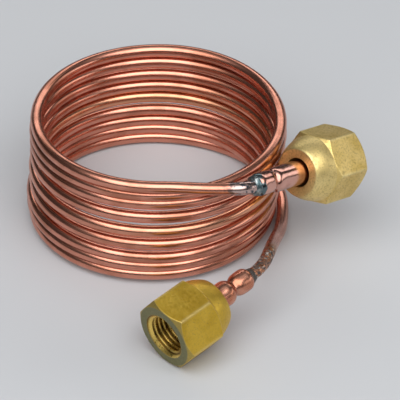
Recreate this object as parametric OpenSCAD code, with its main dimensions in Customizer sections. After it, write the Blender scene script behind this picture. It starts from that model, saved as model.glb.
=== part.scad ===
// Coiled copper capillary tube with a swivelling brass flare nut on each end.
// Lengths in mm. The coil stands on the floor z = 0, and the lower nut leans on it in front of the coil.

/* [Tube] */
// Outer diameter of the thin tube
tube_d = 2.5; // [2:0.1:3.2]
// Bore of the thin tube
tube_bore = 1.5; // [0.6:0.1:1.6]

/* [Coil] */
// Coil radius to the middle of the tube
coil_r = 31.4; // [25:0.1:40]
// Sideways lean of the coil from one turn to the next
turn_lean = 0.2; // [0:0.05:0.4]
// Narrowing of the coil from one turn to the next
turn_taper = 0.06; // [0:0.01:0.1]
// How far the top turn starts outside the coil at the front
top_out = 1.3; // [0:0.1:2]

/* [Flare nuts] */
// Width across the flats
nut_af = 17; // [16:0.5:19]
// Length over all
nut_len = 17; // [16:0.5:20]
// Diameter of the flat ring at the back
back_d = 12.2; // [11:0.1:13]
// Length of the turned cone behind the hexagon
cone_len = 6.2; // [5.5:0.1:7]
// Length of the bevel at the mouth, along an edge of the hexagon
nut_edge = 1.17; // [0.8:0.01:1.5]
// Diameter of the thread's bevel at the mouth
mouth_d = 12.6; // [11.5:0.1:13]
// Bore of the thread (plain wall at its minor diameter)
thread_bore = 9.86; // [9.6:0.02:10]
// Depth from the mouth to the end of the thread
thread_len = 8.8; // [8:0.1:9]
// Depth where the flare seat has the bore of the thread
seat_depth = 9.65; // [9.5:0.05:10]
// Wider mouth of the stub hole at the back of the nut
back_hole = 8; // [7:0.1:9]
// Play of a nut on its stub, on each side
nut_play = 0.075; // [0.05:0.005:0.1]

/* [Stubs] */
// Outer diameter of the stubs
stub_d = 6.35; // [6:0.05:6.5]
// Wall of the stubs
stub_wall = 0.8; // [0.6:0.1:1]
// Outer diameter of the flares
flare_d = 9; // [8.4:0.1:9.4]
// Length of the upper stub behind its nut
upper_reach = 16.5; // [16:0.1:20]
// Length of the lower stub behind its nut
lower_reach = 11.8; // [11:0.1:18]
// Distance of the crimp from the end of the upper stub
upper_crimp = 8.2; // [6:0.1:9]
// Distance of the crimp from the end of the lower stub
lower_crimp = 5.8; // [5:0.1:8]

/* [Hidden] */
$fn = 64;
tube_r = tube_d / 2;
bore_r = tube_bore / 2;
// arcs stop short of their ends by trim, and sleeves wider by lap bridge them
trim = 0.15;
lap = 0.03;
// middle of the part's box, which is moved to x = y = 0
centre = [9.4, -19.8, 0];

// clear space between each turn and the next one down, at the front and at the back
front_gap = [0.94, 0.1, 1.67, 1.94, 1.44, 1.57, 0.1, 0.1];
back_gap = [1.01, 1.19, 0.94, 0.93, 1.46, 0.7, 0.1, 0.31];
turns = len(front_gap) + 1;
// height of the lowest turn at the back, and its rise to the front
foot = tube_r + lap;
low_rise = 0.36 * tube_d;

// upper nut: beside the coil at this bearing, clear of it, its mouth away from the stub's end
upper_axis = unit([0.658, 0.708, -0.258]);
upper_bearing = -29.2;
upper_clear = 1.02;
upper_drop = 4.8;
upper_out = coil_r + tube_r + back_d / 2 + upper_clear;
upper_back = [upper_out * cos(upper_bearing), upper_out * sin(upper_bearing), front(0)[2] - upper_drop];
upper_end = upper_back - upper_reach * upper_axis;
upper_mouth = upper_back + nut_len * upper_axis;
upper_roll = 50.5;

// lower lead: leaves the coil at its right side and climbs to the stub of the nut, which leans
// on the floor with one corner of its mouth, turned by lower_roll from resting on a flat
side_out = 0.8 * tube_d;
lower_side = [coil_r - (turns - 1.5) * (turn_lean + turn_taper) + side_out, -0.3, foot];
lower_way = lower_side + [-3.6, -33.3, 10.7];
lower_axis = unit([-0.732, -0.667, -0.14]);
lower_roll = -9.7;
lower_height = nut_af / sqrt(3) * cos(30 + lower_roll) * norm([lower_axis[0], lower_axis[1]])
    + nut_edge * lower_axis[2];
lower_end = [lower_way[0] - 5.74, lower_way[1] - 13.25,
             lower_height - (lower_reach + nut_len) * lower_axis[2]];
lower_mouth = lower_end + (lower_reach + nut_len) * lower_axis;

// depth of the flare's lip in the nut, a little off the seat
flare_play = 0.21;
lip = stub_wall / sqrt(2);
lip_depth = seat_depth + (thread_bore - flare_d) / 2 - lip - flare_play;
// length of tube inside a stub, and of straight tube under the solder outside it
entry = 3;
lead_in = 1.2;
// depth of the hole that holds the tube in a stub's end
socket = 2;
// room round the tube in the stub's end and in the solder
joint_play = 0.05;

function unit(v) = v / norm(v);
// heading at the end of the arc that starts with heading t along the chord c
function after(t, c) = let (u = unit(c)) 2 * (t * u) * u - t;
// joint of the two arcs that run from p with heading t to q with heading u
function mid(p, t, q, u) =
    let (v = q - p, s = t + u, k = 1 - t * u,
         d = (sqrt(pow(v * s, 2) + 2 * k * (v * v)) - v * s) / (2 * k))
    (p + d * t + q - d * u) / 2;
// arcs [start, heading, end] through the points of a path, each tangent to the one before
function chain(path, t, i = 0) = i > len(path) - 2 ? [] :
    concat([[path[i], t, path[i + 1]]],
           chain(path, after(t, path[i + 1] - path[i]), i + 1));

// height of turn k over the lowest one
function pile(gap, k) = k < len(gap) ? tube_d + gap[k] + pile(gap, k + 1) : 0;
// where turn k crosses the front and the back of the coil
function front(k) = [-turn_lean * k, turn_taper * k - coil_r - (k == 0 ? top_out : 0),
                     foot + low_rise + pile(front_gap, k)];
function back(k) = [-turn_lean * k, coil_r - turn_taper * k, foot + pile(back_gap, k)];
coil_arcs = [for (k = [0 : turns - 1]) each concat(
    [[front(k), [-1, 0, 0], back(k)]],
    k < turns - 1 ? [[back(k), [1, 0, 0], front(k + 1)]] : [])];

upper_in = upper_end - lead_in * upper_axis;
upper_way = [upper_end[0] - 9.9, upper_end[1] - 2.2, front(0)[2]];
upper_turn = unit([1, 0, -0.01]);
upper_arcs = chain([front(0), mid(front(0), [1, 0, 0], upper_way, upper_turn), upper_way,
                    mid(upper_way, upper_turn, upper_in, upper_axis), upper_in,
                    upper_end + entry * upper_axis], [1, 0, 0]);
lower_in = lower_end - lead_in * lower_axis;
lower_turn = [0, -1, 0];
lower_bend = unit([-0.1, -1, 0.5]);
lower_arcs = chain([back(turns - 1), mid(back(turns - 1), [1, 0, 0], lower_side, lower_turn),
                    lower_side, mid(lower_side, lower_turn, lower_way, lower_bend), lower_way,
                    mid(lower_way, lower_bend, lower_in, lower_axis), lower_in,
                    lower_end + entry * lower_axis], [1, 0, 0]);

// children with their z axis along t and their x axis level
module along(p, t) {
    x = unit(cross([0, 0, 1], t));
    y = cross(t, x);
    multmatrix([[x[0], y[0], t[0], p[0]], [x[1], y[1], t[1], p[1]], [x[2], y[2], t[2], p[2]]])
        children();
}

// round bar of radius r along one arc, a little short of both ends
module bend(arc, r) {
    p = arc[0];
    t = arc[1];
    c = arc[2] - p;
    s = norm(cross(t, c)) / norm(c);
    if (s < 0.001)
        along(p + trim * t, t) cylinder(r = r, h = norm(c) - trim);
    else {
        n = unit(cross(t, c));
        m = cross(n, t);
        big = norm(c) / (2 * s);
        o = p + big * m;
        sweep = 2 * atan2(s, t * unit(c));
        g = trim / big * 180 / PI;
        multmatrix([[-m[0], t[0], n[0], o[0]], [-m[1], t[1], n[1], o[1]], [-m[2], t[2], n[2], o[2]]])
            rotate([0, 0, g]) rotate_extrude(angle = sweep - 2 * g) translate([big, 0]) circle(r);
    }
}

// short sleeve that bridges two arcs at the start of the second
module joint(arc, r) {
    along(arc[0] - 3 * trim * arc[1], arc[1]) cylinder(r = r + lap, h = 6 * trim);
}

// the whole run of the tube as a bar of radius r, longer by over at each end
module run(r, over) {
    for (a = coil_arcs) {
        bend(a, r);
        joint(a, r);
    }
    for (i = [0 : len(upper_arcs) - 1]) {
        bend(upper_arcs[i], r);
        if (i > 0) joint(upper_arcs[i], r);
    }
    for (a = lower_arcs) {
        bend(a, r);
        joint(a, r);
    }
    if (over > 0) {
        along(upper_end + (entry - 0.5) * upper_axis, upper_axis) cylinder(r = r + lap, h = 0.5 + over);
        along(lower_end + (entry - 0.5) * lower_axis, lower_axis) cylinder(r = r + lap, h = 0.5 + over);
    }
}

module capillary_tube() {
    color("#b87355") translate(-centre) difference() {
        run(tube_r, 0);
        run(bore_r, 1);
    }
}

// flared stub: lip of the flare at z = 0, end at z = -len; crimped to a groove of depth dent at
// the distance crimp from its end, with a bulge before it and a narrower tail behind it
module stub(len, crimp, dent, bulge) {
    r = stub_d / 2;
    b = r - stub_wall;
    f = flare_d / 2;
    w = r + bulge;
    tail = r - 0.225;
    pinch = max(b - 0.75, tube_r + 0.1);
    g = crimp - len;
    rotate_extrude() polygon([
        [f - lip, 0], [f, -lip], [r, -lip - (f - r)], [r, g + 3.2],
        [w, g + 2.2], [w, g + 1.1], [w - 0.3 * dent, g + 0.6], [w - dent, g + 0.15],
        [w - dent, g - 0.15], [tail - 0.25 * dent, g - 0.6], [tail, g - 1.1],
        [tail, -len + 1.7], [tail - 0.25, -len + 0.85], [tail - 0.8, -len + 0.25],
        [max(tail - 1.3, tube_r + 0.2), -len], [tube_r + joint_play, -len],
        [tube_r + joint_play, socket - len], [pinch, socket + 0.6 - len], [pinch, g + 1.2], [b, g + 3.2],
        [b, -lip - (f - r) + stub_wall * (sqrt(2) - 1)]]);
}

module upper_stub() {
    color("#c98a6b") translate(-centre) along(upper_mouth - lip_depth * upper_axis, upper_axis)
        stub(upper_reach + nut_len - lip_depth, upper_crimp, 0.5, 0);
}

module lower_stub() {
    color("#c98a6b") translate(-centre) along(lower_mouth - lip_depth * lower_axis, lower_axis)
        stub(lower_reach + nut_len - lip_depth, lower_crimp, 0.85, 0.1);
}

// solder fillet round the thin tube, up to fill over it, against the end of a stub at z = 0
module braze(fill) {
    translate([0, 0, -lead_in]) rotate_extrude() polygon([
        [tube_r + joint_play, 0], [tube_r + 0.2, 0], [tube_r + 0.35, lead_in * 0.5],
        [tube_r + fill, lead_in * 0.85], [tube_r + fill, lead_in - 0.02],
        [tube_r + joint_play, lead_in - 0.02]]);
}

module upper_braze() {
    color("#7d8f96") translate(-centre) along(upper_end, upper_axis) braze(1.05);
}

module lower_braze() {
    color("#4a4440") translate(-centre) along(lower_end, lower_axis) braze(0.5);
}

// flare nut: mouth at z = 0 facing +z, round back at z = -nut_len
module nut(roll) {
    rim = nut_af / 2 - 0.15;
    corner = nut_af / sqrt(3);
    slope = nut_edge / (corner - rim);
    m = thread_bore / 2;
    h = stub_d / 2 + nut_play;
    relief = m + 0.3;
    k = back_hole / 2;
    difference() {
        intersection() {
            translate([0, 0, -nut_len]) rotate([0, 0, roll]) cylinder(r = corner, h = nut_len, $fn = 6);
            rotate_extrude() polygon([
                [0, 0], [rim, 0], [corner + 0.1, -slope * (corner + 0.1 - rim)],
                [corner + 0.1, cone_len - nut_len], [rim + 0.05, cone_len - 0.9 - nut_len],
                [back_d / 2 + 0.45, 0.5 - nut_len],
                [back_d / 2, -nut_len], [0, -nut_len]]);
        }
        rotate_extrude() polygon([
            [0, 1], [mouth_d / 2 + 1, 1], [m, m - mouth_d / 2], [m, -thread_len],
            [relief, -thread_len - 0.2], [relief, 0.3 - seat_depth], [h, h - m - seat_depth],
            [h, 2.5 - nut_len], [k, 1.75 - nut_len], [k, -nut_len - 1], [0, -nut_len - 1]]);
    }
}

module upper_nut() {
    color("#c9b06a") translate(-centre) along(upper_mouth, upper_axis) nut(upper_roll);
}

module lower_nut() {
    color("#b8933c") translate(-centre) along(lower_mouth, lower_axis) nut(lower_roll);
}

capillary_tube();
upper_stub();
lower_stub();
upper_braze();
lower_braze();
upper_nut();
lower_nut();
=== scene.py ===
# %% [markdown]
# # A coiled capillary tube with two flare nuts
# A thin copper tube is wound into nine open turns. Each end is brazed into a flared copper
# stub, and a loose brass nut sits on each stub. The solids are already measured and packed,
# so this lesson starts from them and gives every piece its real surface: the drawn tube, the
# crimped stubs, the solder, and nuts with a cut thread.

import bpy
import numpy as np
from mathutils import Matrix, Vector


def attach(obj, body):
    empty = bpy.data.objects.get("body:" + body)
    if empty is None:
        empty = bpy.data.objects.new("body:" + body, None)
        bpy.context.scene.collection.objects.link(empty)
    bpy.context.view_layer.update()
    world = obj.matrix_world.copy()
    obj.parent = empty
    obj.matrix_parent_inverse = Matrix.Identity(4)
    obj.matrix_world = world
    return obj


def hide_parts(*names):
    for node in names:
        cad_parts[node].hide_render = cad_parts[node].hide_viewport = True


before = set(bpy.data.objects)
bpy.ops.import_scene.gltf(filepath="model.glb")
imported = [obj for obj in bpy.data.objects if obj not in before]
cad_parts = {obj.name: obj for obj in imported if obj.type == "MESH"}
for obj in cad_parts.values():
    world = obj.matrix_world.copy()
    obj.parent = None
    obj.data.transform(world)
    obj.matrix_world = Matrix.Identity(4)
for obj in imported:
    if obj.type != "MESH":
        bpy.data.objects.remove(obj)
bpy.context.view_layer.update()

# %% [markdown]
# ## Where things are
# Blender works in metres, a fitting is drawn in millimetres. All shapes below are worked out
# in millimetres around the coil's own axis, and one function moves them to the middle of the
# part's box and scales them. A direction is kept as a vector of length one.

# %% Units and places
MM = 0.001
BOX_MIDDLE = np.array([9.4, -19.8, 0.0])
LEFT, RIGHT = np.array([-1.0, 0.0, 0.0]), np.array([1.0, 0.0, 0.0])
UP = np.array([0.0, 0.0, 1.0])


def unit(v):
    """The vector divided by its own length."""
    v = np.asarray(v, float)
    return v / np.linalg.norm(v, axis=-1, keepdims=True)


def to_part(points):
    """Points in mm about the coil's axis, moved to the part's frame and turned to metres."""
    return (np.asarray(points) - BOX_MIDDLE) * MM


print("coil axis stands at", to_part([0.0, 0.0, 0.0]).round(4), "m")

# %% [markdown]
# ## One mesh maker for every piece
# Each piece is a grid: rows run along a profile or a path, columns run around. When both ways
# close on themselves the surface is a ring with no border, so it has no open seam. The maker
# computes all faces as one array, checks by the enclosed volume that they point outwards, and
# writes the texture coordinates and the named values that the finishes read later.


# %% Grid to mesh
def grid_piece(name, points, uv, values):
    """A mesh from points[row, column], closed both ways: face (i, j) joins rows i and i + 1
    and columns j and j + 1, with the last row and column joined to the first."""
    rows, cols = points.shape[:2]
    index = np.arange(rows * cols).reshape(rows, cols)
    down, side = np.roll(index, -1, 0), np.roll(index, -1, 1)
    corner = np.roll(down, -1, 1)
    faces = np.stack([index, side, corner, down], -1).reshape(-1, 4)
    flat = to_part(points).reshape(-1, 3)
    a, b, c, d = (flat[faces[:, k]] for k in range(4))
    volume = np.einsum("ij,ij->", a, np.cross(b, c)) + np.einsum("ij,ij->", a, np.cross(c, d))
    order = [0, 1, 2, 3] if volume > 0 else [0, 3, 2, 1]
    mesh = bpy.data.meshes.new(name)
    mesh.from_pydata(flat, [], faces[:, order])
    u, v = uv
    row = np.repeat(np.arange(rows), cols)
    col = np.tile(np.arange(cols), rows)
    corner_u = np.stack([u[col], u[col + 1], u[col + 1], u[col]], -1)[:, order]
    corner_v = np.stack([v[row], v[row], v[row + 1], v[row + 1]], -1)[:, order]
    layer = mesh.uv_layers.new(name="surface")
    layer.data.foreach_set("uv", np.stack([corner_u, corner_v], -1).astype(np.float32).ravel())
    for key, value in values.items():
        attribute = mesh.attributes.new(key, "FLOAT", "POINT")
        full = np.broadcast_to(value, (rows, cols))
        attribute.data.foreach_set("value", full.astype(np.float32).ravel())
    mesh.polygons.foreach_set("use_smooth", np.ones(len(mesh.polygons), bool))
    mesh.update()
    piece = bpy.data.objects.new(name, mesh)
    bpy.context.scene.collection.objects.link(piece)
    cubic_mm = abs(volume) / 6 / MM ** 3
    print(name, rows, "x", cols, "grid,", 2 * rows * cols, "triangles,", round(cubic_mm, 1), "mm3")
    return piece


# %% [markdown]
# ## The line of the tube
# A hand-wound coil is best described by its half turns. Each is a plain arc of a circle that
# starts in the heading in which the one before ended, so the whole line is smooth. The space
# between the turns is different at the front and at the back, as in the photograph, and each
# half turn is pressed in a little at its side. Two arcs in a row reach any point in any
# heading, which is how the leads find their stubs.

# %% Sizes of the coil
TUBE_D, BORE_D = 2.5, 1.5
COIL_R, TURN_LEAN, TURN_TAPER, TOP_OUT = 31.4, 0.2, 0.06, 1.3
FRONT_GAP = np.array([0.94, 0.1, 1.67, 1.94, 1.44, 1.57, 0.1, 0.1])
BACK_GAP = np.array([1.01, 1.19, 0.94, 0.93, 1.46, 0.7, 0.1, 0.31])
LEFT_PRESS = [1.2, 0.4, 0.6, 0.7, 0.5, 0.7, 0.1, 0.3, 0.9]
RIGHT_PRESS = [0.5, 0.2, 0.3, 0.4, 0.6, 0.9, 1.1, 1.2]
TURNS = len(FRONT_GAP) + 1
FLOOR_GAP, LOW_RISE = 0.03, 0.36 * TUBE_D
FOOT = TUBE_D / 2 + FLOOR_GAP
front_height = FOOT + LOW_RISE + np.append(np.cumsum((TUBE_D + FRONT_GAP)[::-1])[::-1], 0)
back_height = FOOT + np.append(np.cumsum((TUBE_D + BACK_GAP)[::-1])[::-1], 0)
print(TURNS, "turns, top of the coil at", round(front_height[0] + TUBE_D / 2, 2), "mm")


# %% Arcs
ARC_STEP, STRAIGHT_SINE, STRAIGHT_POINTS = 0.4, 0.001, 12


def front(k):
    """Where turn k crosses the front of the coil: shifted by the lean, drawn in by the taper."""
    out = COIL_R - TURN_TAPER * k + (TOP_OUT if k == 0 else 0)
    return np.array([-TURN_LEAN * k, -out, front_height[k]])


def back(k):
    """Where turn k crosses the back of the coil."""
    return np.array([-TURN_LEAN * k, COIL_R - TURN_TAPER * k, back_height[k]])


def arc(p, t, q):
    """Points of the circle through p in heading t that ends in q: the radius is the chord over
    twice the sine of the angle between heading and chord, and the sweep is twice that angle."""
    chord = q - p
    sine = np.linalg.norm(np.cross(t, chord)) / np.linalg.norm(chord)
    if sine < STRAIGHT_SINE:
        return p + np.linspace(0, 1, STRAIGHT_POINTS)[:, None] * chord
    middle_side = np.cross(unit(np.cross(t, chord)), t)
    radius = np.linalg.norm(chord) / (2 * sine)
    sweep = 2 * np.arctan2(sine, t @ unit(chord))
    a = np.linspace(0, sweep, int(radius * sweep / ARC_STEP) + 4)[:, None]
    return p + radius * (middle_side * (1 - np.cos(a)) + t * np.sin(a))


def meeting(p, t, q, u):
    """Where two arcs meet that run from p in heading t to q in heading u with equal legs."""
    v, s, k = q - p, t + u, 1 - t @ u
    leg = (np.sqrt((v @ s) ** 2 + 2 * k * (v @ v)) - v @ s) / (2 * k)
    return (p + leg * t + q - leg * u) / 2


def chain(points, t):
    """Arcs through all points: the heading at each end mirrors the start about the chord."""
    found = []
    for p, q in zip(points[:-1], points[1:]):
        found.append(arc(p, t, q))
        c = unit(q - p)
        t = 2 * (t @ c) * c - t
    return found


def pressed(points, way):
    """An arc pressed in by hand: every point moved by the way times the squared sine of its
    place along the arc, so that both ends keep their place and their heading."""
    return points + np.sin(np.linspace(0, np.pi, len(points)))[:, None] ** 2 * way


# %% Stubs and nuts at the ends of the tube
NUT_AF, NUT_LEN, NUT_EDGE, BACK_D = 17.0, 17.0, 1.17, 12.2
UPPER_REACH, LOWER_REACH = 16.5, 11.8
CORNER_R = NUT_AF / np.sqrt(3)
UPPER_AXIS, UPPER_ROLL = unit([0.658, 0.708, -0.258]), 50.5
UPPER_BEARING, UPPER_CLEAR, UPPER_DROP = np.radians(-29.2), 1.02, 4.8
upper_out = COIL_R + TUBE_D / 2 + BACK_D / 2 + UPPER_CLEAR
upper_back = np.array([upper_out * np.cos(UPPER_BEARING), upper_out * np.sin(UPPER_BEARING),
                       front_height[0] - UPPER_DROP])
upper_end = upper_back - UPPER_REACH * UPPER_AXIS
upper_mouth = upper_back + NUT_LEN * UPPER_AXIS

LOWER_AXIS, LOWER_ROLL = unit([-0.732, -0.667, -0.14]), -9.7
LOWER_SIDE_OUT, LOWER_SIDE_Y = 0.8 * TUBE_D, -0.3
SIDE_TO_WAY, WAY_TO_END = np.array([-3.6, -33.3, 10.7]), np.array([-5.74, -13.25])
last_turn_out = COIL_R - (TURNS - 1.5) * (TURN_LEAN + TURN_TAPER)
lower_side = np.array([last_turn_out + LOWER_SIDE_OUT, LOWER_SIDE_Y, FOOT])
lower_way = lower_side + SIDE_TO_WAY
corner_drop = CORNER_R * np.cos(np.radians(30 + LOWER_ROLL)) * np.hypot(*LOWER_AXIS[:2])
mouth_height = corner_drop + NUT_EDGE * LOWER_AXIS[2]
end_to_mouth = (LOWER_REACH + NUT_LEN) * LOWER_AXIS
lower_end = np.array([*(lower_way[:2] + WAY_TO_END), mouth_height - end_to_mouth[2]])
lower_mouth = lower_end + end_to_mouth
print("mouths of the nuts:", to_part(upper_mouth).round(4), to_part(lower_mouth).round(4), "m")

# %% The whole centre line
ENTRY, LEAD_IN = 3.0, 1.2
upper_in, lower_in = upper_end - LEAD_IN * UPPER_AXIS, lower_end - LEAD_IN * LOWER_AXIS
UPPER_END_TO_WAY = np.array([-9.9, -2.2])
upper_way = np.array([*(upper_end[:2] + UPPER_END_TO_WAY), front_height[0]])
upper_turn = unit([1, 0, -0.01])
upper_lead = chain([front(0), meeting(front(0), RIGHT, upper_way, upper_turn), upper_way,
                    meeting(upper_way, upper_turn, upper_in, UPPER_AXIS), upper_in,
                    upper_end + ENTRY * UPPER_AXIS], RIGHT)
half_turns = []
for k in range(TURNS):
    half_turns.append(pressed(arc(front(k), LEFT, back(k)), LEFT_PRESS[k] * RIGHT))
    if k < TURNS - 1:
        half_turns.append(pressed(arc(back(k), RIGHT, front(k + 1)), RIGHT_PRESS[k] * LEFT))
lower_turn, lower_bend = np.array([0.0, -1.0, 0.0]), unit([-0.1, -1.0, 0.5])
last_back = back(TURNS - 1)
lower_lead = chain([last_back, meeting(last_back, RIGHT, lower_side, lower_turn), lower_side,
                    meeting(lower_side, lower_turn, lower_way, lower_bend), lower_way,
                    meeting(lower_way, lower_bend, lower_in, LOWER_AXIS), lower_in,
                    lower_end + ENTRY * LOWER_AXIS], RIGHT)
runs = [a[::-1] for a in upper_lead[::-1]] + half_turns + lower_lead
line = np.concatenate([a[:-1] for a in runs[:-1]] + [runs[-1]])
line_s = np.concatenate([[0], np.cumsum(np.linalg.norm(np.diff(line, axis=0), axis=1))])
TUBE_LEN = line_s[-1]
print("tube length", round(TUBE_LEN, 1), "mm in", len(runs), "arcs")

# %% [markdown]
# ## The drawn tube
# The tube is a circle carried along the centre line. Its frame keeps one axis level, so the
# seam and the streaks never twist. The outer wall is finely stepped, and the bore runs back
# inside it with longer steps, because it is hardly seen. The photograph shows a thicker tube
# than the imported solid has, so the wall is drawn an eighth of an inch thick, and the coil is
# lifted by what that adds below, so that it still stands on the floor. Solder has crept along
# the tube at the upper stub, and the torch has scaled it at the lower one: both are slight
# swellings of the radius, and both are also written as named values for the finish.


# %% Helpers for slow waves and soft steps
def waves(x, lengths, phases):
    """A sum of sines of the given wave lengths and phases, scaled to stay within -1 and 1."""
    x = np.asarray(x, float)[..., None]
    return np.sin(2 * np.pi * x / np.array(lengths) + np.array(phases)).mean(-1)


def soft_step(x, low, high):
    """0 below low, 1 above high, and the smooth cubic between them."""
    t = np.clip((x - low) / (high - low), 0, 1)
    return t * t * (3 - 2 * t)


# %% Tube surface
DRAWN_R, DRAWN_WANDER = 3.175 / 2, 0.006
LIFT, LIFT_FADE = DRAWN_R - TUBE_D / 2, (5.0, 45.0)
SMEAR_RISE, SMEAR_FADE, SMEAR_THICK, SMEAR_LUMP = (2.0, 3.0), (7.0, 14.0), 0.13, 0.06
SCALE_LEN, SCALE_FADE, SCALE_CRUST = 19.0, 7.0, 0.035
HEADING_STEP = 0.3
OUTER_ROWS, BORE_ROWS, TUBE_COLS = 1700, 420, 24


def at_length(s):
    """Points of the centre line at lengths s along it."""
    return np.stack([np.interp(s, line_s, line[:, i]) for i in range(3)], -1)


def tube_surface():
    """Circle of the local radius about each point of the line: level axis times cosine plus
    upright axis times sine. The rows go out along the wall and come back along the bore."""
    s = np.concatenate([np.linspace(0, TUBE_LEN, OUTER_ROWS), np.linspace(TUBE_LEN, 0, BORE_ROWS)])
    wall = np.arange(len(s)) < OUTER_ROWS
    p = at_length(s)
    p[:, 2] += LIFT * soft_step(s, *LIFT_FADE) * soft_step(TUBE_LEN - s, *LIFT_FADE)
    t = unit(at_length(s + HEADING_STEP) - at_length(s - HEADING_STEP))
    level = unit(np.cross(UP, t))
    upright = np.cross(t, level)
    angle = np.linspace(0, 2 * np.pi, TUBE_COLS, endpoint=False)
    smear = soft_step(s, *SMEAR_RISE) * (1 - soft_step(s, *SMEAR_FADE)) * wall
    scale_from = TUBE_LEN - ENTRY - SCALE_LEN
    scale = soft_step(s, scale_from, scale_from + SCALE_FADE) * wall
    lumps = waves(s[:, None] + 2.2 * np.sin(angle), [2.9, 4.7, 7.3], [0.4, 2.1, 4.0])
    crust = waves(s[:, None] + 1.4 * np.cos(angle), [1.3, 2.1, 3.7], [1.0, 0.2, 5.1])
    outer = DRAWN_R + DRAWN_WANDER * waves(s, [9.1, 23.0, 61.0], [0.0, 1.3, 2.9])[:, None]
    outer = outer + smear[:, None] * (SMEAR_THICK + SMEAR_LUMP * lumps)
    outer = outer + scale[:, None] * SCALE_CRUST * crust
    radius = np.where(wall[:, None], outer, BORE_D / 2)
    points = p[:, None] + radius[..., None] * (
        np.cos(angle)[None, :, None] * level[:, None] + np.sin(angle)[None, :, None] * upright[:, None])
    uv = np.linspace(0, 1, TUBE_COLS + 1), np.append(s, 0) * MM
    return points, uv, smear[:, None], scale[:, None], s


# %% Straw-coloured stretches and the tube's mesh
GOLD_TURN, GOLD_LEN, GOLD_AHEAD = 4, 40.0, 40.0


def nearest_length(place):
    """Length along the centre line at its point nearest to a place."""
    return line_s[np.argmin(np.linalg.norm(line - place, axis=1))]


points, uv, smear, scale, tube_s = tube_surface()
from_front = tube_s - nearest_length(front(GOLD_TURN)) + GOLD_AHEAD
from_back = tube_s - nearest_length(back(GOLD_TURN))
golden = (np.exp(-(from_front / GOLD_LEN) ** 2) + np.exp(-(from_back / GOLD_LEN) ** 2))[:, None]
drawn_tube = grid_piece("drawn_tube", points, uv, {"smear": smear, "scale": scale, "golden": golden})

# %% [markdown]
# ## Flared stubs
# A stub is a short piece of wider copper tube, turned about its axis. Its mouth is opened to a
# 45 degree flare that the nut clamps, and its other end is spun down on the thin tube. A ring
# crimp holds it there. A turned piece is a profile times a circle, and the crimp adds four
# shallow dents by the angle, as the jaws of a crimping tool leave them.


# %% Placing turned pieces
FILLET_ROWS = 5


def turned(place, axis, roll, r, z, angle):
    """Radius r and height z by angle, carried to a point with the axis as its height: the level
    direction is the zero of the angle, turned by roll degrees."""
    level = unit(np.cross(UP, axis))
    upright = np.cross(axis, level)
    a = angle + np.radians(roll)
    around = np.cos(a)[..., None] * level + np.sin(a)[..., None] * upright
    return place + r[..., None] * around + z[..., None] * axis


def filleted(keys, cuts):
    """Every corner of a closed profile cut back by its length and rounded by a parabola:
    corner + (1 - t)^2 * leg back + t^2 * leg ahead. keys[corner, column, (r, z)]."""
    back_leg, ahead_leg = np.roll(keys, 1, 0) - keys, np.roll(keys, -1, 0) - keys
    t = np.linspace(0, 1, FILLET_ROWS)[None, :, None, None]
    legs = []
    for leg in (back_leg, ahead_leg):
        length = np.linalg.norm(leg, axis=-1, keepdims=True)
        legs.append(leg / length * np.minimum(np.asarray(cuts)[:, None, None], 0.45 * length))
    rounded = keys[:, None] + (1 - t) ** 2 * legs[0][:, None] + t ** 2 * legs[1][:, None]
    return rounded.reshape(-1, *keys.shape[1:])


def along_profile(profile):
    """Length along a closed profile from its first point, with the closing length added."""
    steps = np.linalg.norm(np.diff(np.append(profile, profile[:1], 0), axis=0), axis=-1)
    return np.concatenate([[0], np.cumsum(steps)])


# %% Sizes of a stub
STUB_D, STUB_WALL, FLARE_D = 6.35, 0.8, 9.0
THREAD_BORE, THREAD_LEN, SEAT_DEPTH = 9.86, 8.8, 9.65
LIP, FLARE_CLEAR, TUBE_CLEAR = STUB_WALL / np.sqrt(2), 0.21, 0.05
LIP_DEPTH = SEAT_DEPTH + (THREAD_BORE - FLARE_D) / 2 - LIP - FLARE_CLEAR
FLARE_FOOT = -LIP - (FLARE_D - STUB_D) / 2
TAIL_R, BORE_R, TIP_R = STUB_D / 2 - 0.225, STUB_D / 2 - STUB_WALL, 1.75
SOCKET_R, SOCKET_LEN, PINCH_R = DRAWN_R + TUBE_CLEAR, 2.0, BORE_R - 0.75
END_LEN, TAIL_FADE, BULGE_UP, BULGE_LEN = 1.7, 0.7, 2.2, 1.3
STUB_ROUGH, STUB_COLS = 0.012, 96
print("flare", FLARE_D, "mm wide, its lip", round(LIP_DEPTH, 2), "mm deep in the nut")


# %% Stub surface
def stub_profile(length, g, bulge):
    """Radius and height: flare, plain tube, a bell-shaped bulge above the crimp at height g, a
    narrower tail and an elliptic end; then back inside through socket and bore."""
    r, f, foot = STUB_D / 2, FLARE_D / 2, FLARE_FOOT
    flare_r = [f - LIP, f - LIP + 0.09, f - 0.09, f, f - 0.1, r + 0.28, r + 0.09, r + 0.01]
    flare_z = [-0.03, 0.0, -LIP + 0.09, -LIP - 0.06, -LIP - 0.17, foot + 0.28, foot + 0.06, foot - 0.12]
    plain, worked = np.linspace(foot - 0.35, g + 3.8, 14), np.linspace(g + 3.6, END_LEN - length, 56)
    h = np.concatenate([plain, worked])
    body = TAIL_R + (r - TAIL_R) * soft_step(h, g - TAIL_FADE, g + TAIL_FADE)
    body = body + bulge * np.exp(-((h - g - BULGE_UP) / BULGE_LEN) ** 2)
    turn = np.linspace(0.06, np.pi / 2, 16)
    end_r, end_z = TIP_R + (TAIL_R - TIP_R) * np.cos(turn), END_LEN * (1 - np.sin(turn)) - length
    inner_r = [SOCKET_R, SOCKET_R, PINCH_R, PINCH_R, BORE_R, BORE_R, BORE_R, f - LIP - 0.12]
    socket = SOCKET_LEN - length
    inner_z = [-length, socket, socket + 0.6, g + 1.2, g + 3.2, foot, foot + 0.25, -0.15]
    profile_r = np.concatenate([flare_r, body, end_r, inner_r])
    profile_z = np.concatenate([flare_z, h, end_z, inner_z])
    return profile_r, profile_z, len(profile_r) - len(inner_r)


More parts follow.
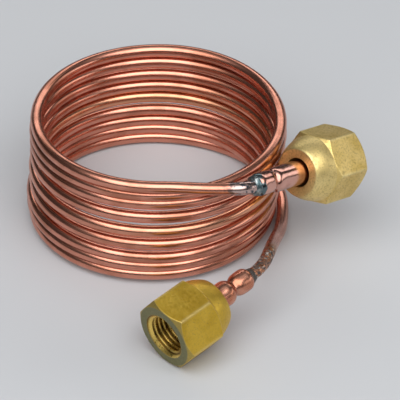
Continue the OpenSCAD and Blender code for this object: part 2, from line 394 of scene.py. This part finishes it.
def stub_surface(name, mouth, axis, reach, crimp, slant, dent, width, bulge, jaw, roll, wet):
    """The profile turned about the axis, less a bell-shaped groove at the crimp that is deeper by
    the cosine of four times the angle, plus a slight roughness from waves."""
    length = reach + NUT_LEN - LIP_DEPTH
    g = crimp - length
    pr, pz, outside_rows = stub_profile(length, g, bulge)
    angle = np.linspace(0, 2 * np.pi, STUB_COLS, endpoint=False)
    outside = np.arange(len(pr)) < outside_rows
    ring = g + slant * np.cos(angle)[None, :]
    groove = np.exp(-(np.abs(pz[:, None] - ring) / width) ** 1.5) * outside[:, None]
    radius = pr[:, None] - groove * (dent + jaw / 2 * np.cos(4 * angle + np.radians(roll)))
    rough = waves(angle * 3 + pz[:, None], [2.1, 3.3, 5.9], [0.3, 1.9, 4.4])
    radius = radius + STUB_ROUGH * outside[:, None] * rough
    place = mouth - LIP_DEPTH * axis
    grid = turned(place, axis, 0, radius, np.broadcast_to(pz[:, None], radius.shape), angle[None, :])
    heat = outside * (1 - soft_step(pz, -length + 1.0, g + 2.0))
    coat = outside * (1 - soft_step(pz, wet - length - 0.5, wet - length + 0.5))
    profile = np.stack([pr, pz], -1)
    uv = np.linspace(0, 1, STUB_COLS + 1), along_profile(profile) * MM
    return grid_piece(name, grid, uv, {"heat": heat[:, None], "groove": groove, "coat": coat[:, None]})


upper_flared_stub = stub_surface(
    "upper_flared_stub", upper_mouth, UPPER_AXIS, UPPER_REACH,
    crimp=6.2, slant=0.4, dent=0.45, width=0.7, bulge=0.02, jaw=0.3, roll=150, wet=1.3)
lower_flared_stub = stub_surface(
    "lower_flared_stub", lower_mouth, LOWER_AXIS, LOWER_REACH,
    crimp=5.8, slant=0.1, dent=0.9, width=1.0, bulge=0.12, jaw=0.04, roll=60, wet=0.4)

# %% [markdown]
# ## Solder
# The joint between thin tube and stub is a small collar of solder. It is a turned fillet too,
# but it was molten, so its radius wanders with the angle and the height.


# %% Solder collars
SOLDER_EDGE, STUB_GAP = 0.2, 0.02
OUTSIDE_ROWS, INSIDE_ROWS, SOLDER_COLS = 20, 6, 64


def solder_surface(name, end, axis, fill, wander, phase):
    """A fillet from the tube up to fill at the stub, as a cosine ramp by height, with waves by
    angle and height added to its outside."""
    t = np.linspace(0, 1, OUTSIDE_ROWS)
    rise = SOLDER_EDGE + (fill - SOLDER_EDGE) * (0.5 - 0.5 * np.cos(np.pi * np.clip(t * 1.1, 0, 1)))
    pr = np.append(DRAWN_R + rise, np.full(INSIDE_ROWS, DRAWN_R + TUBE_CLEAR))
    pz = np.append(-LEAD_IN + t * (LEAD_IN - STUB_GAP), np.linspace(-STUB_GAP, -LEAD_IN, INSIDE_ROWS))
    outside = np.append(np.sin(np.pi * (t * 0.9 + 0.05)), np.zeros(INSIDE_ROWS))
    angle = np.linspace(0, 2 * np.pi, SOLDER_COLS, endpoint=False)
    around = np.sin(angle + phase) + 0.6 * np.sin(3 * angle + 2.2 * phase) + 0.4 * np.cos(5 * angle)
    lumps = around + waves(pz[:, None] + angle, [0.7, 1.3], [0.2, phase])
    radius = pr[:, None] + wander * outside[:, None] * lumps
    grid = turned(end, axis, 0, radius, np.broadcast_to(pz[:, None], radius.shape), angle[None, :])
    uv = np.linspace(0, 1, SOLDER_COLS + 1), along_profile(np.stack([pr, pz], -1)) * MM
    return grid_piece(name, grid, uv, {})


upper_solder = solder_surface("upper_solder", upper_end, UPPER_AXIS, 1.0, 0.07, 0.8)
lower_solder = solder_surface("lower_solder", lower_end, LOWER_AXIS, 0.5, 0.05, 2.4)

# %% [markdown]
# ## Flare nuts
# A nut is a hexagon bar that was turned at both ends, so every section through its axis has
# the same corners, at heights that depend on the angle. That makes it a good grid: each column
# is one such section, and the curved edges where a cone meets the flats fall on grid lines.
# The bore has a real thread: the radius follows a trapezoid wave of height minus angle.

# %% Sizes of a nut
RIM_R = NUT_AF / 2 - 0.15
CHAMFER_SLOPE = NUT_EDGE / (CORNER_R - RIM_R)
SHOULDER_R, SHOULDER_Z, SHOULDER_SLOPE = 8.4, -11.7, 0.594
DOME_IN, DOME_DROP, DOME_BULGE = 1.85, 4.8, 0.3
BACK_R, BACK_EDGE_OUT, BACK_EDGE_UP = BACK_D / 2, 0.45, 0.5
HOLE_R, HOLE_LEN, HOLE_CONE, SEAT_R, RELIEF_R = 3.7, 1.75, 0.75, 3.25, 5.23
MINOR_R, MAJOR_R, PITCH, RUN_OUT = THREAD_BORE / 2, 5.56, 1.27, 0.7
THREAD_FLAT, THREAD_FLANK = 0.125, 0.3125
MOUTH_R, BEVEL_END, BEVEL_SLOPE, STEEP_SLOPE = 6.2, -0.65, 1.1, 1.9
COLS_PER_FLAT, COLUMN_CROWDING, THREAD_ROWS = 36, 1.7, 112
EDGE_SHARPNESS = 240
FLAT_ANGLES = np.radians(30 + 60 * np.arange(6))
print("nut", NUT_AF, "mm across flats,", round(2 * CORNER_R, 2), "mm across corners")


# %% Hexagon and thread
def hexagon(angle):
    """Radius of a hexagon with softened corners by angle: the power mean of the six distances,
    flat / cosine, with a high power."""
    reach = np.clip(np.cos(angle[:, None] - FLAT_ANGLES), 0, 1) ** EDGE_SHARPNESS
    return NUT_AF / 2 * reach.sum(1) ** (-1 / EDGE_SHARPNESS)


def thread(angle, z):
    """Radius of the thread: a trapezoid wave of height over pitch minus turns, from the minor to
    the major radius, which fades out at its inner end and opens into the bevel at the mouth."""
    f = np.mod(z / PITCH - angle / (2 * np.pi), 1)
    wave = np.clip((0.5 - np.abs(f - 0.5) - THREAD_FLAT) / THREAD_FLANK, 0, 1)
    wave = wave * soft_step(z, -THREAD_LEN, -THREAD_LEN + RUN_OUT)
    cut = MINOR_R + (MAJOR_R - MINOR_R) * wave
    bevel = MOUTH_R + BEVEL_SLOPE * np.maximum(z, BEVEL_END) + STEEP_SLOPE * np.minimum(z - BEVEL_END, 0)
    return np.maximum(cut, bevel), wave


# %% Section of a nut
DOME_CUT = 0.45


def nut_section(r_hex):
    """The corners of the section by name, each with radius, height and how far it is rounded. The
    two corners on the flats stand where a cone meets the hexagon's radius at that angle."""
    dome_t = np.array([0.2, 0.4, 0.6, 0.8])
    dome_r = SHOULDER_R - DOME_IN * dome_t + DOME_BULGE * np.sin(np.pi * dome_t)
    dome_z = SHOULDER_Z - DOME_DROP * dome_t
    return {"mouth": (MOUTH_R, 0, 0.1),
            "rim": (RIM_R, 0, 0.2),
            "chamfer": (r_hex, -CHAMFER_SLOPE * (r_hex - RIM_R), 0.16),
            "flat_end": (r_hex, SHOULDER_Z + SHOULDER_SLOPE * (r_hex - SHOULDER_R), 0.2),
            "shoulder": (SHOULDER_R, SHOULDER_Z, 0.25),
            **{f"dome_{t}": (r, z, DOME_CUT) for t, r, z in zip(dome_t, dome_r, dome_z)},
            "back_edge": (BACK_R + BACK_EDGE_OUT, BACK_EDGE_UP - NUT_LEN, 0.3),
            "back_rim": (BACK_R, -NUT_LEN, 0.25),
            "hole_rim": (HOLE_R, -NUT_LEN, 0.25),
            "hole_end": (HOLE_R, HOLE_LEN - NUT_LEN, 0.2),
            "neck_start": (SEAT_R, HOLE_LEN + HOLE_CONE - NUT_LEN, 0.2),
            "neck_end": (SEAT_R, SEAT_R - MINOR_R - SEAT_DEPTH, 0.15),
            "seat_end": (RELIEF_R, 0.3 - SEAT_DEPTH, 0.08),
            "relief_end": (RELIEF_R, -THREAD_LEN - 0.2, 0.08),
            "thread_foot": (MINOR_R, -THREAD_LEN, 0.05)}


# %% Nut surface
WORN = {"mouth": 0.5, "rim": 0.15, "chamfer": 0.4, "flat_end": 0.4, "shoulder": 0.25, "back_rim": 0.5}
HALF_FILLET = FILLET_ROWS // 2


def nut_values(corners, turned_count, r_hex, thread_z, wave):
    """The named values by row and column. The rows start in the middle of the mouth's corner, so
    FILLET_ROWS times a corner's number is its middle row; the thread's rows come last."""
    at = {corner: FILLET_ROWS * i for i, corner in enumerate(corners)}
    rows, cols = turned_count + len(thread_z), len(r_hex)
    edge, inside = np.zeros((rows, cols)), np.zeros((rows, cols))
    face, cone, fresh = np.zeros((rows, 1)), np.zeros((rows, 1)), np.zeros((rows, 1))
    worn = np.array([WORN.get(corner, 0) for corner in corners])
    across_fillet = np.array([0, 0.6, 1, 0.6, 0])
    edge[:turned_count] = (worn[:, None] * across_fillet).ravel()[HALF_FILLET:, None]
    on_flats = slice(at["chamfer"], at["flat_end"] + 1)
    edge[on_flats] = np.maximum(edge[on_flats], soft_step(r_hex, CORNER_R - 0.34, CORNER_R - 0.1))
    # the mouth face and part of its bevel take the painted dark reflection
    face[:at["rim"] + 1] = 1
    face[at["rim"] + 1:at["chamfer"]] = 0.55
    face[turned_count:, 0] = 0.1 * soft_step(thread_z, BEVEL_END - 0.3, BEVEL_END)
    cone[at["shoulder"]:at["hole_rim"] + 1] = 1
    # painted shade down the bore and in the thread roots
    inside[at["hole_end"] - HALF_FILLET:turned_count] = 0.6
    inside[turned_count:] = 0.1 + 0.9 * wave
    fresh[turned_count:] = 1
    return {"edge": edge, "face": face, "cone": cone, "inside": inside, "fresh": fresh}


def nut_surface(name, mouth, axis, roll):
    """Columns are sections by angle, closer together at the corners of the hexagon; rows are the
    rounded corners of the section, then the thread from the seat back to the mouth."""
    t = np.linspace(-1, 1, COLS_PER_FLAT, endpoint=False)
    crowded = np.sign(t) * (1 - (1 - np.abs(t)) ** COLUMN_CROWDING)
    angle = (FLAT_ANGLES[:, None] + np.radians(30) * crowded).ravel()
    r_hex = hexagon(angle)
    section = nut_section(r_hex)
    keys = np.stack([np.stack(np.broadcast_arrays(r, z, r_hex)[:2], -1) for r, z, _ in section.values()])
    turned_rows = filleted(keys, [cut for _, _, cut in section.values()])[HALF_FILLET:]
    thread_z = np.linspace(-THREAD_LEN, -0.02, THREAD_ROWS)[1:]
    thread_r, wave = thread(angle[None, :], thread_z[:, None])
    thread_rows = np.stack(np.broadcast_arrays(thread_r, thread_z[:, None]), -1)
    rows = np.concatenate([turned_rows, thread_rows])
    grid = turned(mouth, axis, roll, rows[..., 0], rows[..., 1], angle[None, :])
    u = np.append(np.degrees(angle) / 360, np.degrees(angle[0]) / 360 + 1)
    values = nut_values(list(section), len(turned_rows), r_hex, thread_z, wave)
    return grid_piece(name, grid, (u, along_profile(rows[:, 0]) * MM), values)


upper_hex_nut = nut_surface("upper_hex_nut", upper_mouth, UPPER_AXIS, UPPER_ROLL)
lower_hex_nut = nut_surface("lower_hex_nut", lower_mouth, LOWER_AXIS, LOWER_ROLL)

# %% [markdown]
# ## Finishes
# Bare metal has almost no colour of its own apart from its tint: it shows what stands around
# it. What makes it look real is the small stuff, so each finish varies its tint, its roughness
# and its fine relief. Patterns follow the surface coordinates where the metal was drawn
# through a die, and the part's own space where it was cast, forged or heated.


# %% Node helpers
def new_finish(name):
    """An empty finish: its node tree and its surface shader."""
    finish = bpy.data.materials.new(name)
    finish.use_nodes = True
    return finish, finish.node_tree, finish.node_tree.nodes["Principled BSDF"]


def node(tree, kind, sockets=(), **settings):
    """One node: settings are its own options, sockets are pairs of input and value or link."""
    made = tree.nodes.new(kind)
    for key, value in settings.items():
        setattr(made, key, value)
    for key, value in sockets:
        if isinstance(value, bpy.types.NodeSocket):
            tree.links.new(value, made.inputs[key])
        else:
            made.inputs[key].default_value = value
    return made


def named(tree, name):
    """A named value that was written on the mesh."""
    return node(tree, "ShaderNodeAttribute", attribute_name=name).outputs["Fac"]


def noise(tree, vector, scale, detail=4.0, rough=0.5):
    """Cloudy noise from 0 to 1 at a scale, given in clouds per metre or per surface unit."""
    sockets = [("Vector", vector), ("Scale", scale), ("Detail", detail), ("Roughness", rough)]
    return node(tree, "ShaderNodeTexNoise", sockets).outputs["Fac"]


def stretched(tree, source, scale):
    """Coordinates scaled by a factor for each axis, so that a round pattern becomes long."""
    made = node(tree, "ShaderNodeMapping", [("Vector", source), ("Scale", scale)])
    return made.outputs["Vector"]


def between(tree, value, low, high, out_low=0.0, out_high=1.0):
    """A value mapped from one range to another and held inside it."""
    sockets = [("Value", value), ("From Min", low), ("From Max", high),
               ("To Min", out_low), ("To Max", out_high)]
    return node(tree, "ShaderNodeMapRange", sockets, interpolation_type="SMOOTHSTEP").outputs["Result"]


def times(tree, a, b, operation="MULTIPLY"):
    """Two values multiplied, or joined by another operation, such as ADD."""
    return node(tree, "ShaderNodeMath", [(0, a), (1, b)], operation=operation).outputs["Value"]


def tint(tree, amount, a, b):
    """Colour a with b laid over it by an amount from 0 to 1. In a colour mix, sockets 0, 6 and 7
    are the amount and the two colours, and output 2 is the result."""
    made = node(tree, "ShaderNodeMix", data_type="RGBA")
    for key, value in ((0, amount), (6, a), (7, b)):
        if isinstance(value, bpy.types.NodeSocket):
            tree.links.new(value, made.inputs[key])
        else:
            made.inputs[key].default_value = value if key == 0 else (*value, 1)
    return made.outputs[2]


def relief(tree, shader, height, depth):
    """Fine relief: a height from 0 to 1 times a depth in metres, given to the shader."""
    made = node(tree, "ShaderNodeBump", [("Height", height), ("Distance", depth), ("Strength", 1.0)])
    tree.links.new(made.outputs["Normal"], shader.inputs["Normal"])


def space(tree, kind):
    """Coordinates: Object for the part's own space, UV for the surface, and in the surround
    Generated for the direction."""
    return node(tree, "ShaderNodeTexCoord").outputs[kind]


def dress(piece, finish):
    """Give a piece its finish and say so."""
    piece.data.materials.append(finish)
    print(piece.name, "wears", finish.name)


# %% [markdown]
# ### Drawn copper
# Drawing leaves the thin tube bright and even, with faint lines along it. Handling leaves
# redder and browner clouds, one turn is straw-coloured, and the ends carry the traces of the
# torch: silver where solder has run, and black, brown and grey scale at the lower stub.


# %% Copper of the thin tube
def drawn_copper():
    """Tint: rosy copper with brown clouds and a golden stretch; then solder and scale by name."""
    finish, tree, shader = new_finish("drawn_copper")
    surface, part = space(tree, "UV"), space(tree, "Object")
    lines = noise(tree, stretched(tree, surface, (60, 18, 1)), 1.0, 3.0)
    clouds = noise(tree, part, 95.0, 5.0, 0.6)
    tone = tint(tree, between(tree, clouds, 0.42, 0.68), (0.7, 0.3, 0.21), (0.48, 0.185, 0.115))
    tone = tint(tree, times(tree, between(tree, lines, 0.5, 0.8), 0.3), tone, (0.8, 0.43, 0.33))
    tone = tint(tree, times(tree, named(tree, "golden"), 0.3), tone, (0.8, 0.46, 0.2))
    drift = times(tree, noise(tree, part, 420.0, 4.0, 0.6), named(tree, "smear"), "ADD")
    silver = between(tree, drift, 1.0, 1.4, 0.0, 0.75)
    tone = tint(tree, silver, tone, (0.5, 0.42, 0.4))
    flux = times(tree, named(tree, "smear"), between(tree, noise(tree, part, 750.0, 3.0), 0.5, 0.58))
    tone = tint(tree, flux, tone, (0.06, 0.075, 0.09))
    tone = tint(tree, times(tree, named(tree, "scale"), 0.75), tone, (0.4, 0.19, 0.095))
    flakes = noise(tree, part, 1050.0, 5.0, 0.62)
    burnt = between(tree, times(tree, flakes, times(tree, named(tree, "scale"), 0.5), "ADD"), 0.94, 1.08)
    tone = tint(tree, burnt, tone, (0.05, 0.042, 0.04))
    ash = times(tree, named(tree, "scale"), between(tree, noise(tree, part, 1300.0, 3.0), 0.56, 0.66))
    tone = tint(tree, ash, tone, (0.55, 0.52, 0.48))
    tree.links.new(tone, shader.inputs["Base Color"])
    rough = between(tree, times(tree, lines, clouds), 0.12, 0.4, 0.2, 0.3)
    rough = times(tree, rough, times(tree, burnt, 0.4), "ADD")
    tree.links.new(rough, shader.inputs["Roughness"])
    metal = times(tree, 1.0, times(tree, burnt, 0.75), "SUBTRACT")
    tree.links.new(metal, shader.inputs["Metallic"])
    crust = times(tree, flakes, times(tree, named(tree, "scale"), 3.0))
    relief(tree, shader, times(tree, times(tree, lines, 0.25), crust, "ADD"), 0.03 * MM)
    return finish


dress(drawn_tube, drawn_copper())

# %% [markdown]
# ### Stub copper
# The stubs are brighter and pinker than the thin tube. Fine scratches run along them from
# being pushed into their nuts, and heat has drawn a brown and violet bloom over the end at
# the solder.


# %% Copper of the stubs
def stub_copper(name, pale, deep, bloom, scratch, wet_tone, shine):
    """Tint: pink copper, orange in the scratches, with a bloom that fades from the heated end and painted
    shade darkening the crimp groove.
    """
    finish, tree, shader = new_finish(name)
    surface, part = space(tree, "UV"), space(tree, "Object")
    scratches = noise(tree, stretched(tree, surface, (130, 60, 1)), 1.0, 5.0, 0.65)
    clouds = noise(tree, part, 260.0, 4.0, 0.55)
    tone = tint(tree, between(tree, clouds, 0.4, 0.65), pale, deep)
    tone = tint(tree, times(tree, between(tree, scratches, 0.52, 0.7), scratch), tone, (0.72, 0.27, 0.13))
    heated = times(tree, named(tree, "heat"), between(tree, noise(tree, part, 330.0, 3.0), 0.35, 0.62))
    tone = tint(tree, times(tree, heated, bloom), tone, (0.34, 0.17, 0.14))
    # painted shade: the crimp groove is tinted dark brown by the groove mask
    tone = tint(tree, times(tree, named(tree, "groove"), 0.35), tone, (0.3, 0.13, 0.09))
    spread = times(tree, named(tree, "coat"), between(tree, clouds, 0.3, 0.75, 0.6, -0.6), "ADD")
    tone = tint(tree, between(tree, spread, 0.6, 1.0), tone, wet_tone)
    tree.links.new(tone, shader.inputs["Base Color"])
    tree.links.new(between(tree, scratches, 0.35, 0.75, *shine), shader.inputs["Roughness"])
    shader.inputs["Metallic"].default_value = 1.0
    relief(tree, shader, scratches, 0.01 * MM)
    return finish


dress(upper_flared_stub, stub_copper(
    "stub_copper_upper", pale=(0.68, 0.37, 0.3), deep=(0.54, 0.26, 0.2), bloom=0.45, scratch=0.3,
    wet_tone=(0.12, 0.16, 0.17), shine=(0.14, 0.26)))
dress(lower_flared_stub, stub_copper(
    "stub_copper_lower", pale=(0.68, 0.32, 0.22), deep=(0.54, 0.21, 0.125), bloom=0.25, scratch=0.8,
    wet_tone=(0.06, 0.05, 0.045), shine=(0.22, 0.38)))

# %% [markdown]
# ### Solder
# Fresh solder is silver with a soft frost. The upper collar keeps that look with a blue-grey
# film over part of it, and the lower one is black from the torch.


# %% Solder collars, bright and burnt
def solder_finish(name, bright, film, shine, metal):
    """Tint: two colours in clouds, with a lumpy relief."""
    finish, tree, shader = new_finish(name)
    part = space(tree, "Object")
    clouds = noise(tree, part, 700.0, 5.0, 0.6)
    tone = tint(tree, between(tree, clouds, 0.4, 0.6), bright, film)
    tree.links.new(tone, shader.inputs["Base Color"])
    tree.links.new(between(tree, clouds, 0.35, 0.7, *shine), shader.inputs["Roughness"])
    shader.inputs["Metallic"].default_value = metal
    relief(tree, shader, noise(tree, part, 1500.0, 4.0), 0.06 * MM)
    return finish


dress(upper_solder, solder_finish(
    "bright_solder", bright=(0.34, 0.37, 0.37), film=(0.07, 0.11, 0.12), shine=(0.25, 0.45), metal=1.0))
dress(lower_solder, solder_finish(
    "burnt_solder", bright=(0.03, 0.028, 0.026), film=(0.12, 0.1, 0.085), shine=(0.4, 0.7), metal=0.4))

# %% [markdown]
# ### Brass
# The nuts are forged, with flats that have a sandy grain and small pits. Edges are rubbed
# paler, the mouth face is rougher and carries a painted dark, greenish reflection, and the cone
# at the back is finely turned. The thread is freshly cut, so it is more golden, and painted
# shade darkens its roots and the bore behind it.


# %% Brass of the nuts
def nut_brass(name, light, deep, face_painted_reflection, back_tone, sand):
    """Tint: two brasses in clouds with sandy grains and pits; a painted dark, greenish reflection on
    the mouth face, golden in the thread with painted shade in its roots and the bore, pale on the edges."""
    finish, tree, shader = new_finish(name)
    surface, part = space(tree, "UV"), space(tree, "Object")
    clouds = noise(tree, part, 170.0, 5.0, 0.6)
    grain = noise(tree, part, 2100.0, 3.0, 0.6)
    pits = between(tree, noise(tree, part, 1150.0, 2.0, 0.4), 0.66, 0.76)
    rings = noise(tree, stretched(tree, surface, (2.5, 9000, 1)), 1.0, 2.0)
    tone = tint(tree, between(tree, clouds, 0.38, 0.64), light, deep)
    tone = tint(tree, times(tree, named(tree, "cone"), 0.5), tone, back_tone)
    tone = tint(tree, between(tree, grain, 0.5, 0.66, 0.0, sand), tone, (0.4, 0.29, 0.11))
    tone = tint(tree, times(tree, pits, 0.4), tone, (0.25, 0.17, 0.06))
    # painted reflection: the mouth face and its bevel are tinted dark and greenish
    tone = tint(tree, times(tree, named(tree, "face"), 0.9), tone, face_painted_reflection)
    tone = tint(tree, times(tree, named(tree, "fresh"), 0.85), tone, (0.95, 0.68, 0.18))
    # painted shade: the thread roots and the bore behind the thread are darkened
    tone = tint(tree, times(tree, named(tree, "inside"), 0.95), tone, (0.11, 0.055, 0.012))
    tone = tint(tree, times(tree, named(tree, "edge"), 0.25), tone, (0.93, 0.84, 0.5))
    tree.links.new(tone, shader.inputs["Base Color"])
    rough = between(tree, grain, 0.3, 0.7, 0.36, 0.56)
    rough = times(tree, rough, times(tree, named(tree, "face"), 0.15), "ADD")
    rough = times(tree, rough, times(tree, named(tree, "fresh"), 0.14), "SUBTRACT")
    tree.links.new(rough, shader.inputs["Roughness"])
    shader.inputs["Metallic"].default_value = 1.0
    turned_lines = times(tree, rings, times(tree, named(tree, "cone"), 0.5))
    height = times(tree, times(tree, grain, 0.5), turned_lines, "ADD")
    height = times(tree, height, pits, "SUBTRACT")
    relief(tree, shader, height, 0.025 * MM)
    return finish


dress(upper_hex_nut, nut_brass(
    "nut_brass_pale", light=(0.82, 0.62, 0.24), deep=(0.7, 0.5, 0.15), face_painted_reflection=(0.4, 0.36, 0.2),
    back_tone=(0.86, 0.7, 0.34), sand=0.5))
dress(lower_hex_nut, nut_brass(
    "nut_brass_deep", light=(0.72, 0.48, 0.065), deep=(0.6, 0.38, 0.04), face_painted_reflection=(0.2, 0.21, 0.13),
    back_tone=(0.66, 0.45, 0.075), sand=0.22))

# %% [markdown]
# ## Bodies
# The nuts turn on their stubs, so each rides on its own body. Everything else is joined by
# solder and rides with the coil. Each piece also says which solid it stands for and which
# finish of the record it takes.

# %% Ride and replace
PIECES = [(drawn_tube, "coil", "capillary_tube", "copper"),
          (upper_flared_stub, "coil", "upper_stub", "stub_copper"),
          (lower_flared_stub, "coil", "lower_stub", "stub_copper"),
          (upper_solder, "coil", "upper_braze", "solder"),
          (lower_solder, "coil", "lower_braze", "solder"),
          (upper_hex_nut, "upper_nut", "upper_nut", "brass"),
          (lower_hex_nut, "lower_nut", "lower_nut", "brass")]
for piece, body, solid, slot in PIECES:
    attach(piece, body)
    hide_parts(solid)
print(len(PIECES), "pieces on", sorted({body for _, body, _, _ in PIECES}))

# %% [markdown]
# ## Stage, light and camera
# A product shot of bright metal needs something for the metal to show. A wide softbox overhead,
# leaning towards the camera, draws a broad highlight along every turn, a strip behind it draws
# the thin rims, and a fill at the right opens the shaded side. The surround is bright overhead
# and dim at the sides, which leaves darker bands between the highlights. A lamp's power is set
# from the brightness that its panel should show: four times brightness times area. The floor
# is pale and plain, and the camera stands far away with a long lens.

# %% Floor
FLOOR_HALF = 2.5
floor_mesh = bpy.data.meshes.new("studio_floor")
floor_mesh.from_pydata([(-FLOOR_HALF, -FLOOR_HALF, 0), (FLOOR_HALF, -FLOOR_HALF, 0),
                        (FLOOR_HALF, FLOOR_HALF, 0), (-FLOOR_HALF, FLOOR_HALF, 0)], [], [(0, 1, 2, 3)])
floor = bpy.data.objects.new("studio_floor", floor_mesh)
bpy.context.scene.collection.objects.link(floor)
floor_finish, _, floor_shader = new_finish("pale_floor")
floor_shader.inputs["Base Color"].default_value = (0.56, 0.57, 0.59, 1)
floor_shader.inputs["Roughness"].default_value = 0.7
floor_mesh.materials.append(floor_finish)
print("floor", 2 * FLOOR_HALF, "m wide")

# %% Surround
world = bpy.data.worlds.new("studio")
world.use_nodes = True
surround = world.node_tree.nodes["Background"]
surround.inputs["Color"].default_value = (0.95, 0.98, 1.0, 1)
SKY_DIM, SKY_BRIGHT, SKY_EDGE, SKY_TOP = 0.06, 0.7, 0.5, (0.0, -0.42, 0.907)
ray = space(world.node_tree, "Generated")
upward = node(world.node_tree, "ShaderNodeVectorMath", [(0, ray), (1, SKY_TOP)], operation="DOT_PRODUCT")
glow = between(world.node_tree, upward.outputs["Value"], SKY_EDGE, 1.0, SKY_DIM, SKY_BRIGHT)
world.node_tree.links.new(glow, surround.inputs["Strength"])
bpy.context.scene.world = world
print("surround from", SKY_DIM, "to", SKY_BRIGHT)

# %% Lamps by name, place and size in metres, and brightness
LAMP_AIM = Vector((0, 0, 0.015))
LAMPS = [("overhead_softbox", (-0.05, -0.52, 0.78), (1.4, 0.9), 1.95),
         ("back_strip", (0.1, 1.0, 0.7), (1.8, 0.3), 1.5),
         ("right_fill", (0.95, -0.02, 0.31), (0.9, 0.34), 1.15)]
for name, place, size, brightness in LAMPS:
    lamp = bpy.data.lights.new(name, "AREA")
    lamp.shape, lamp.size, lamp.size_y = "RECTANGLE", *size
    lamp.energy = 4 * brightness * size[0] * size[1]
    stand = bpy.data.objects.new(name, lamp)
    stand.location = place
    stand.rotation_euler = (LAMP_AIM - Vector(place)).to_track_quat("-Z", "Y").to_euler()
    bpy.context.scene.collection.objects.link(stand)
print(len(LAMPS), "lamps")

# %% Camera
ELEVATION = np.radians(35.014)
FAR, FOCUS_PX, IMAGE_PX, SENSOR = 1500.0, 5895.0, 400.0, 36.0
AIM, AIM_PX = np.array([0.0, 0.0, 14.0]), np.array([159.0, 165.35])
ahead = np.array([0.0, np.cos(ELEVATION), -np.sin(ELEVATION)])
image_up = np.array([0.0, np.sin(ELEVATION), np.cos(ELEVATION)])
aside = (IMAGE_PX / 2 - AIM_PX) / FOCUS_PX
looking = ahead + RIGHT * aside[0] - image_up * aside[1]
camera_data = bpy.data.cameras.new("photo_camera")
camera_data.sensor_width, camera_data.lens = SENSOR, SENSOR * FOCUS_PX / IMAGE_PX
camera_data.clip_start, camera_data.clip_end = 0.1, 20.0
camera = bpy.data.objects.new("photo_camera", camera_data)
camera.location = to_part(AIM - FAR * ahead)
camera.rotation_euler = Vector(looking).to_track_quat("-Z", "Y").to_euler()
bpy.context.scene.collection.objects.link(camera)
bpy.context.scene.camera = camera
bpy.context.scene.view_settings.view_transform = "Standard"
print("lens", round(camera_data.lens, 1), "mm at", FAR, "mm")

# %% [markdown]
# ## Last step
# The view layer is brought up to date, so that every piece stands where it was placed.

# %% Update the view layer
bpy.context.view_layer.update()
